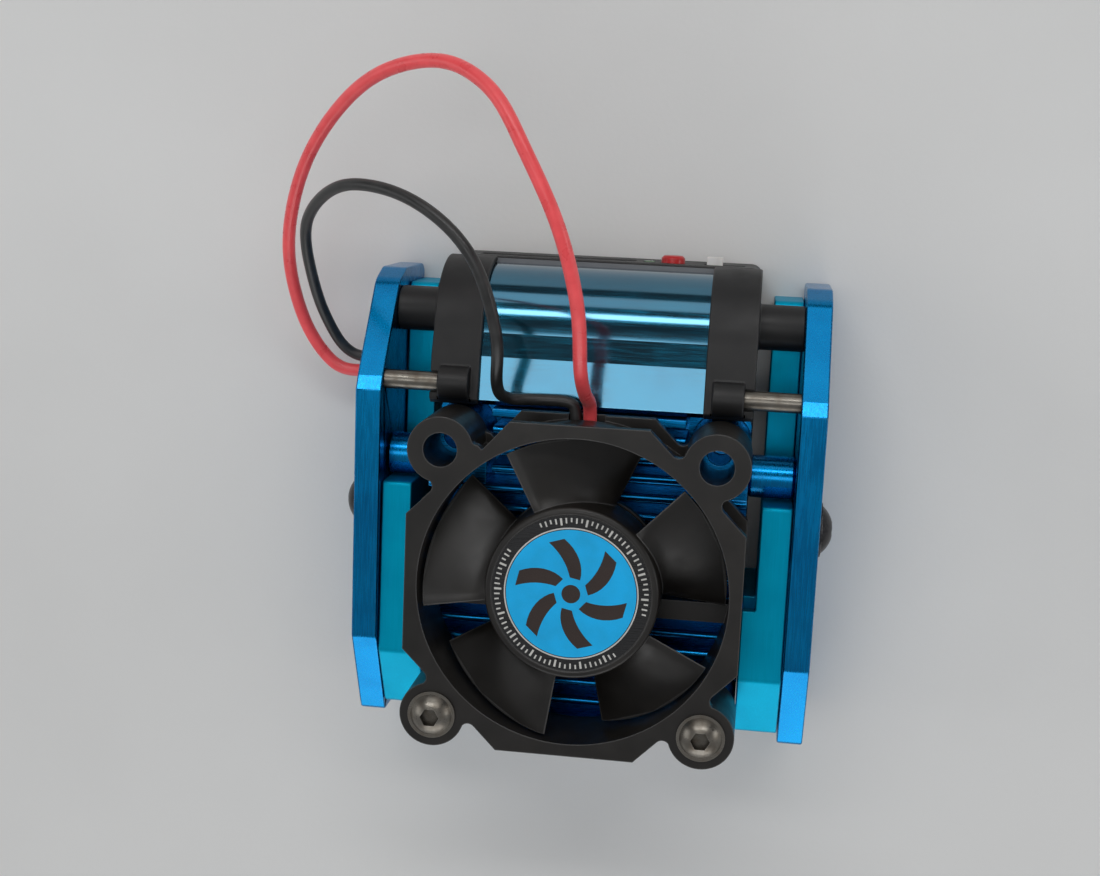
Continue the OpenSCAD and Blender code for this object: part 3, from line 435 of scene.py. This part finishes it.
def crease_marker(low, high):
    """A modifier group that marks the edges that bend by low to high degrees as sharp."""
    group = bpy.data.node_groups.new("mark_creases", "GeometryNodeTree")
    group.interface.new_socket("Geometry", in_out="INPUT", socket_type="NodeSocketGeometry")
    group.interface.new_socket("Geometry", in_out="OUTPUT", socket_type="NodeSocketGeometry")
    bend = group.nodes.new("GeometryNodeInputMeshEdgeAngle")
    limits = []
    for operation, limit in (("GREATER_THAN", low), ("LESS_THAN", high)):
        node = group.nodes.new("ShaderNodeMath")
        node.operation = operation
        node.inputs[1].default_value = math.radians(limit)
        group.links.new(bend.outputs["Unsigned Angle"], node.inputs[0])
        limits.append(node)
    both = group.nodes.new("ShaderNodeMath")
    both.operation = "MULTIPLY"
    group.links.new(limits[0].outputs[0], both.inputs[0])
    group.links.new(limits[1].outputs[0], both.inputs[1])
    shade = group.nodes.new("GeometryNodeSetShadeSmooth")
    shade.domain = "EDGE"
    shade.inputs["Shade Smooth"].default_value = False
    group.links.new(group.nodes.new("NodeGroupInput").outputs[0], shade.inputs["Geometry"])
    group.links.new(both.outputs[0], shade.inputs["Selection"])
    group.links.new(shade.outputs[0], group.nodes.new("NodeGroupOutput").inputs[0])
    return group


def merge_faces(node):
    """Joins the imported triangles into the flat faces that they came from."""
    weld = node.modifiers.new("weld", "WELD")
    weld.merge_threshold = DOUBLE * MM
    flat = node.modifiers.new("flat", "DECIMATE")
    flat.decimate_type = "DISSOLVE"
    flat.angle_limit = math.radians(0.8)


def even_normals(node):
    """Shades the big faces flat and lets only their rounded edges blend."""
    normals = node.modifiers.new("normals", "WEIGHTED_NORMAL")
    normals.weight = 60
    normals.keep_sharp = True
    for polygon in node.data.polygons:
        polygon.use_smooth = True


def break_edges():
    """Rounds the listed CAD nodes' sharp edges with modifiers; their meshes stay as packed."""
    shallow = crease_marker(CREASE_MIN, BEVEL_MIN)
    for name, width in EDGE.items():
        node = nodes[name]
        merge_faces(node)
        if name in CRISP:
            node.modifiers.new("creases", "NODES").node_group = shallow
        bevel = node.modifiers.new("edge", "BEVEL")
        bevel.width = width * MM
        bevel.segments = 2
        bevel.limit_method = "ANGLE"
        bevel.angle_limit = math.radians(BEVEL_MIN)
        bevel.use_clamp_overlap = False
        bevel.miter_outer = "MITER_ARC"
        even_normals(node)
    cover = nodes["capacitor_cover"]
    merge_faces(cover)
    cover.modifiers.new("creases", "NODES").node_group = crease_marker(CREASE_MIN, ANY_BEND)
    even_normals(cover)


# ---- mesh helpers ----

ROUND = 96                      # sides of the hub and the label
ARC_STEPS = 5                   # points along a rounded corner

def make_piece(name, verts, faces, material, body, slot, smooth_angle=30):
    """A new piece from millimetre points, with its doubles merged and its normals outward."""
    mesh = bpy.data.meshes.new(name)
    mesh.from_pydata([tuple(c * MM for c in v) for v in verts], [], faces)
    work = bmesh.new()
    work.from_mesh(mesh)
    bmesh.ops.remove_doubles(work, verts=work.verts, dist=DOUBLE * MM)
    bmesh.ops.recalc_face_normals(work, faces=work.faces)
    work.to_mesh(mesh)
    work.free()
    mesh.shade_smooth()
    mesh.set_sharp_from_angle(angle=math.radians(smooth_angle))
    mesh.materials.append(material)
    piece = bpy.data.objects.new(name, mesh)
    bpy.context.scene.collection.objects.link(piece)
    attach(piece, body)
    return piece


def polar(radius, degrees, z=0.0):
    """The point at a radius and an angle about the Z axis."""
    angle = math.radians(degrees)
    return (radius * math.cos(angle), radius * math.sin(angle), z)


def ring_faces(rows, columns, closed_rows=False):
    """Quads over a grid of points stored row by row, where each row is a closed ring."""
    faces = []
    for i in range(rows if closed_rows else rows - 1):
        a = i * columns
        b = ((i + 1) % rows) * columns
        for k in range(columns):
            n = (k + 1) % columns
            faces.append((a + k, a + n, b + n, b + k))
    return faces


def turned(profile, segments):
    """A closed [radius, height] outline turned about the Z axis."""
    verts = [polar(r, 360 * k / segments, z) for r, z in profile for k in range(segments)]
    return verts, ring_faces(len(profile), segments, closed_rows=True)


def rounded(outline, radii):
    """A closed outline with arcs of the given radii for corners, 0 for a sharp one."""
    points = []
    count = len(outline)
    for i, radius in enumerate(radii):
        before, at, after = (Vector(outline[(i + d) % count]) for d in (-1, 0, 1))
        if radius == 0:
            points.append(tuple(at))
            continue
        u = (before - at).normalized()
        v = (after - at).normalized()
        half = u.angle(v) / 2
        centre = at + (u + v).normalized() * radius / math.sin(half)
        first = (at + u * radius / math.tan(half) - centre).normalized()
        last = (at + v * radius / math.tan(half) - centre).normalized()
        for k in range(ARC_STEPS + 1):
            points.append(tuple(centre + radius * first.slerp(last, k / ARC_STEPS)))
    return points


def flat_solid(outline, z0, z1):
    """A thin prism over a closed XY outline."""
    count = len(outline)
    verts = [(x, y, z0) for x, y in outline] + [(x, y, z1) for x, y in outline]
    sides = [(k, (k + 1) % count, count + (k + 1) % count, count + k) for k in range(count)]
    return verts, sides + [tuple(range(count - 1, -1, -1)), tuple(range(count, 2 * count))]


def joined(solids):
    """Several (verts, faces) pairs as one."""
    verts, faces = [], []
    for more_verts, more_faces in solids:
        start = len(verts)
        verts += more_verts
        faces += [tuple(start + i for i in face) for face in more_faces]
    return verts, faces


def reach(name):
    """How far a CAD node reaches from the fan's axis, in millimetres."""
    return max(math.hypot(v.co.x, v.co.y) for v in nodes[name].data.vertices) / MM


# ---- the fan's rotor ----

BLADES = 5
BLADE_ROWS = 12                 # steps from the hub to the tip
BLADE_STEPS = 22                # steps from the lower edge to the upper one
BLADE_START = -6.0              # angle of the first blade's lower edge
BLADE_SPAN = 52.0               # angle that a blade turns through on its way up
BLADE_LEAN = 2.2                # degrees by which the tip leans ahead of the root
ROOT_DEPTH = 0.35               # how far a blade reaches into the hub's wall
ROOT_HALF = 0.40                # half the blade's thickness at the root
TAPER = 0.12                    # how much thinner that half is at the tip
FILLET = 0.55                   # how much thicker it is where it meets the hub
FILLET_REACH = 0.45             # how quickly the fillet dies out
CAMBER = 0.07                   # bow of the blade's section, as a share of its rise
BLADE_MARGIN = 0.45             # from the blade's box to its middle sheet, top and bottom
TIP_GAP = 0.02                  # from the CAD part's reach to the blade tips
HUB_WALL = 0.8
HUB_CORNER = 0.55               # radius of the hub's upper rim
low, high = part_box("impeller")
hub_top = high.z / MM
blade_low = low.z / MM
blade_high = hub_top - 0.6
hub_r = reach("rotor_yoke") + HUB_WALL
tip_r = reach("impeller") - TIP_GAP
label_r = reach("hub_label")
label_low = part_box("hub_label")[0].z / MM


def blade(first_angle):
    """One blade: a cambered sheet with a rounded section, thickest near the hub."""
    rise = blade_high - blade_low - 2 * BLADE_MARGIN
    ring = 2 * BLADE_STEPS
    verts = []
    for i in range(BLADE_ROWS + 1):
        u = i / BLADE_ROWS
        r = hub_r - ROOT_DEPTH + (tip_r - hub_r + ROOT_DEPTH) * u
        fillet = math.exp(-max(0.0, r - hub_r) / FILLET_REACH)
        for k in range(ring):
            upper = k < BLADE_STEPS
            v = (k if upper else ring - k) / BLADE_STEPS
            body = math.sqrt(max(0.0, 1 - (2 * v - 1) ** 6))
            half = (ROOT_HALF - TAPER * u + FILLET * fillet) * body
            lift = half if upper else -half
            bowed = v + CAMBER * math.sin(math.pi * v)
            z = blade_low + BLADE_MARGIN + rise * bowed + lift * 0.86
            lean = BLADE_LEAN * u * (1 - v) * v * 4
            turn = BLADE_SPAN * v + lean - math.degrees(lift * 0.5 / r)
            verts.append(polar(r, first_angle + turn, min(max(z, blade_low), blade_high)))
    faces = ring_faces(BLADE_ROWS + 1, ring)
    faces += [tuple(range(ring - 1, -1, -1)), tuple(BLADE_ROWS * ring + k for k in range(ring))]
    return verts, faces


def build_impeller():
    """The hub cup, turned from its section, and the blades, as one moulding."""
    roof = hub_top - 1.3
    lid = hub_top - 0.9
    shaft_r = 1.0
    boss_r = 2.4
    cup_r = hub_r - HUB_WALL
    recess_r = label_r + 0.12
    section = [
        ((shaft_r, roof - 1), 0), ((boss_r, roof - 1), 0.1), ((boss_r, roof), 0.2),
        ((cup_r, roof), 0.2), ((cup_r, blade_low), 0.15), ((hub_r, blade_low), 0.15),
        ((hub_r, hub_top), HUB_CORNER), ((recess_r, hub_top), 0.06), ((recess_r, label_low), 0),
        ((0.0, label_low), 0), ((0.0, lid), 0), ((shaft_r, lid), 0),
    ]
    outline = [corner for corner, _ in section]
    radii = [radius for _, radius in section]
    hub = turned(rounded(outline, radii), ROUND)
    blades = [blade(BLADE_START + 360 * i / BLADES) for i in range(BLADES)]
    piece = make_piece("impeller_moulding", *joined([hub] + blades), looks["fan_nylon"],
                       "fan_rotor", "fan_nylon", smooth_angle=38)
    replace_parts(piece, "impeller")


# The label's rings, as radii from the fan's axis
DISC_R = 7.64
RIM_INNER = 7.74
RIM_OUTER = 7.9
TICK_OUTER = 9.05
TICK_STEP = 4                   # degrees from tick to tick
TICK_GAPS = ((116, 148), (310, 346))

# The emblem on the disc
VANES = 6
VANE_INNER = 2.0
VANE_LENGTH = 4.6
VANE_WIDTH = 36                 # degrees at its inner end
VANE_STEPS = 8
EYE_R = 1.1


def circle(radius, sides):
    """A closed XY outline."""
    return [polar(radius, 360 * k / sides)[:2] for k in range(sides)]


def tick(k, low, high):
    """One mark of the label's ring; every fifth is longest, and the odd ones are shortest."""
    angle = TICK_STEP * k
    inner = 8.2 if k % 5 == 0 else 8.4 if k % 2 == 0 else 8.55
    half = 0.8 if k % 5 == 0 else 0.6
    corners = [polar(inner, angle - half), polar(TICK_OUTER, angle - half),
               polar(TICK_OUTER, angle + half), polar(inner, angle + half)]
    return flat_solid([c[:2] for c in corners], low, high)


def vane(start, low, high):
    """One curved vane of the emblem, which narrows as it runs outward."""
    radii = [VANE_INNER + VANE_LENGTH * j / VANE_STEPS for j in range(VANE_STEPS + 1)]
    lead = [polar(r, start + 8.5 * (r - VANE_INNER)) for r in radii]
    trail = [polar(r, start + VANE_WIDTH + 4.2 * (r - VANE_INNER)) for r in reversed(radii)]
    return flat_solid([p[:2] for p in lead + trail], low, high)


def label_piece(name, solid, look):
    """A piece of the label, which turns with the rotor."""
    return make_piece(name, *solid, look, "fan_rotor", "label_film")


def build_label():
    """The hub's label: black film, a ring of plain ticks, and a blue disc with an emblem."""
    film_top = hub_top - 0.05
    ink_top = hub_top - 0.015
    white = film("label_white", (0.62, 0.61, 0.58), 0.35)
    blue = film("label_blue", (0.0, 0.46, 0.92), 0.34)
    dark = film("label_dark", (0.035, 0.022, 0.018), 0.35)

    base = flat_solid(circle(label_r, ROUND), label_low, film_top)
    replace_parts(label_piece("label_film", base, looks["label_film"]), "hub_label")

    marks = [k for k in range(360 // TICK_STEP)
             if not any(a < TICK_STEP * k < b for a, b in TICK_GAPS)]
    label_piece("label_ticks", joined([tick(k, film_top, ink_top) for k in marks]), white)

    rim = [(RIM_INNER, film_top), (RIM_INNER, ink_top),
           (RIM_OUTER, ink_top), (RIM_OUTER, film_top)]
    label_piece("label_rim", turned(rim, ROUND), white)
    label_piece("label_disc", flat_solid(circle(DISC_R, ROUND), film_top, ink_top), blue)

    emblem = [vane(360 / VANES * k, ink_top, hub_top) for k in range(VANES)]
    emblem.append(flat_solid(circle(EYE_R, 32), ink_top, hub_top))
    label_piece("label_emblem", joined(emblem), dark)


# ---- the fan's leads ----

LINE_STEPS = 4                  # points per length of a smoothed line
TUBE_SIDES = 20


def centre_line(name):
    """The middle of each ring of vertices along a tube-shaped CAD node, from its lowest-Y end."""
    mesh = nodes[name].data
    spot = [tuple(round(c, 7) for c in v.co) for v in mesh.vertices]
    beside = {}
    for edge in mesh.edges:
        a, b = (spot[i] for i in edge.vertices)
        beside.setdefault(a, set()).add(b)
        beside.setdefault(b, set()).add(a)
    start_y = min(p[1] for p in beside)
    ring = {p for p in beside if p[1] < start_y + 0.01 * MM}
    seen = set(ring)
    centres = []
    while ring:
        centres.append(sum((Vector(p) for p in ring), Vector()) / len(ring) / MM)
        ring = {q for p in ring for q in beside[p]} - seen
        seen |= ring
    return centres


def smooth_line(points):
    """A cubic B-spline that follows the points and never leaves their outline."""
    line = [points[0]]
    last = len(points) - 1
    for i in range(last):
        a, b, c, d = (points[min(max(i + k, 0), last)] for k in (-1, 0, 1, 2))
        for k in range(LINE_STEPS):
            t = k / LINE_STEPS
            line.append(((1 - t) ** 3 * a + (3 * t ** 3 - 6 * t ** 2 + 4) * b
                         + (3 * t + 3 * t ** 2 - 3 * t ** 3 + 1) * c + t ** 3 * d) / 6)
    return line + [points[last]]


def tube(line, radius):
    """A round tube with capped ends; each ring is turned as little as the bend allows."""
    verts = []
    side = Vector((0, 0, 1))
    for i, point in enumerate(line):
        ahead = (line[min(i + 1, len(line) - 1)] - line[max(i - 1, 0)]).normalized()
        side = (side - side.dot(ahead) * ahead).normalized()
        up = ahead.cross(side)
        for k in range(TUBE_SIDES):
            angle = 2 * math.pi * k / TUBE_SIDES
            verts.append(tuple(point + radius * (math.cos(angle) * side + math.sin(angle) * up)))
    last = (len(line) - 1) * TUBE_SIDES
    start_cap = tuple(range(TUBE_SIDES - 1, -1, -1))
    end_cap = tuple(last + k for k in range(TUBE_SIDES))
    return verts, ring_faces(len(line), TUBE_SIDES) + [start_cap, end_cap]


LEADS = (("fan_lead_red", 0.82, "red_silicone"), ("fan_lead_black", 0.72, "black_silicone"))


def build_leads():
    """Each lead as a smooth tube along its CAD node's own line."""
    for node, radius, slot in LEADS:
        line = smooth_line(centre_line(node))
        piece = make_piece(node + "_sheath", *tube(line, radius), looks[slot], "controller", slot)
        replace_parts(piece, node)


# ---- stage ----

FLOOR_HALF = 12.0
AIM = Vector((0.0, 0.01, 0.02))


def softbox(name, place, size, radiance, level=(1, 0, 0)):
    """An area light that faces the object, with its width along level, unseen by the camera."""
    light = bpy.data.lights.new(name, "AREA")
    light.shape = "RECTANGLE"
    light.size = size[0]
    light.size_y = size[1]
    light.energy = radiance * math.pi * size[0] * size[1]
    lamp = bpy.data.objects.new(name, light)
    bpy.context.scene.collection.objects.link(lamp)
    back = (Vector(place) - AIM).normalized()
    across = (Vector(level) - Vector(level).dot(back) * back).normalized()
    turn = Matrix((across, back.cross(across), back)).transposed().to_4x4()
    lamp.matrix_world = Matrix.Translation(place) @ turn
    lamp.visible_camera = False


def build_floor():
    """One wide face under the object."""
    mesh = bpy.data.meshes.new("floor")
    corners = [(x * FLOOR_HALF, y * FLOOR_HALF, 0) for x, y in ((-1, -1), (1, -1), (1, 1), (-1, 1))]
    mesh.from_pydata(corners, [], [(0, 1, 2, 3)])
    mesh.materials.append(plain_floor("floor"))
    floor = bpy.data.objects.new("floor", mesh)
    bpy.context.scene.collection.objects.link(floor)


def build_world():
    """Soft room light, weaker from behind the object, and an even backdrop for the camera."""
    world = bpy.data.worlds.new("studio")
    world.use_nodes = True
    tree = world.node_tree
    room = tree.nodes["Background"]
    room.inputs["Color"].default_value = (0.95, 0.97, 1.0, 1.0)
    view = tree.nodes.new("ShaderNodeTexCoord")
    split = tree.nodes.new("ShaderNodeSeparateXYZ")
    fall = tree.nodes.new("ShaderNodeMapRange")
    strength = {"From Min": 0.05, "From Max": 0.40, "To Min": 0.34, "To Max": 0.09}
    for name, value in strength.items():
        fall.inputs[name].default_value = value
    tree.links.new(view.outputs["Generated"], split.inputs["Vector"])
    tree.links.new(split.outputs["Y"], fall.inputs["Value"])
    tree.links.new(fall.outputs["Result"], room.inputs["Strength"])
    backdrop = tree.nodes.new("ShaderNodeBackground")
    backdrop.inputs["Color"].default_value = (*BACKDROP, 1.0)
    rays = tree.nodes.new("ShaderNodeLightPath")
    choose = tree.nodes.new("ShaderNodeMixShader")
    tree.links.new(rays.outputs["Is Camera Ray"], choose.inputs["Fac"])
    tree.links.new(room.outputs["Background"], choose.inputs[1])
    tree.links.new(backdrop.outputs["Background"], choose.inputs[2])
    tree.links.new(choose.outputs["Shader"], tree.nodes["World Output"].inputs["Surface"])
    bpy.context.scene.world = world


def build_lights():
    """Each light's place and size in metres, and its radiance."""
    softbox("overhead", (-0.08, 0.105, 0.92), (0.60, 0.24), 2.2)
    softbox("rear", (0.0, 0.55, 0.61), (0.90, 0.11), 6.5)
    softbox("rear_low", (0.0, 0.74, 0.33), (0.90, 0.26), 1.1)
    softbox("front", (0.05, -0.78, 0.24), (0.90, 0.40), 1.7)
    softbox("left", (-0.85, 0.05, 0.40), (0.50, 0.40), 1.2, level=(0, 1, 0))
    softbox("right", (0.85, 0.10, 0.30), (0.40, 0.24), 2.6, level=(0, 1, 0))


EYE = Vector((0.0195, 0.0492, 0.2098))
TARGET = Vector((-0.0045, 0.0165, 0.022))
IMAGE_UP = Vector((-0.0435, 1.0, 0.0))
SENSOR_WIDTH = 36.0
FOCAL_LENGTH = 52.0


def build_camera():
    """The main view's eye point, aimed at the middle of the object."""
    back = (EYE - TARGET).normalized()
    right = IMAGE_UP.cross(back).normalized()
    up = back.cross(right)
    data = bpy.data.cameras.new("camera")
    data.sensor_width = SENSOR_WIDTH
    data.lens = FOCAL_LENGTH
    data.clip_start = 0.01
    camera = bpy.data.objects.new("camera", data)
    bpy.context.scene.collection.objects.link(camera)
    camera.matrix_world = Matrix.Translation(EYE) @ Matrix((right, up, back)).transposed().to_4x4()
    bpy.context.scene.camera = camera


dress_cad_nodes()
break_edges()
build_impeller()
build_label()
build_leads()
build_floor()
build_world()
build_lights()
build_camera()
bpy.context.scene.view_settings.view_transform = "Standard"
bpy.context.scene.view_settings.look = "None"
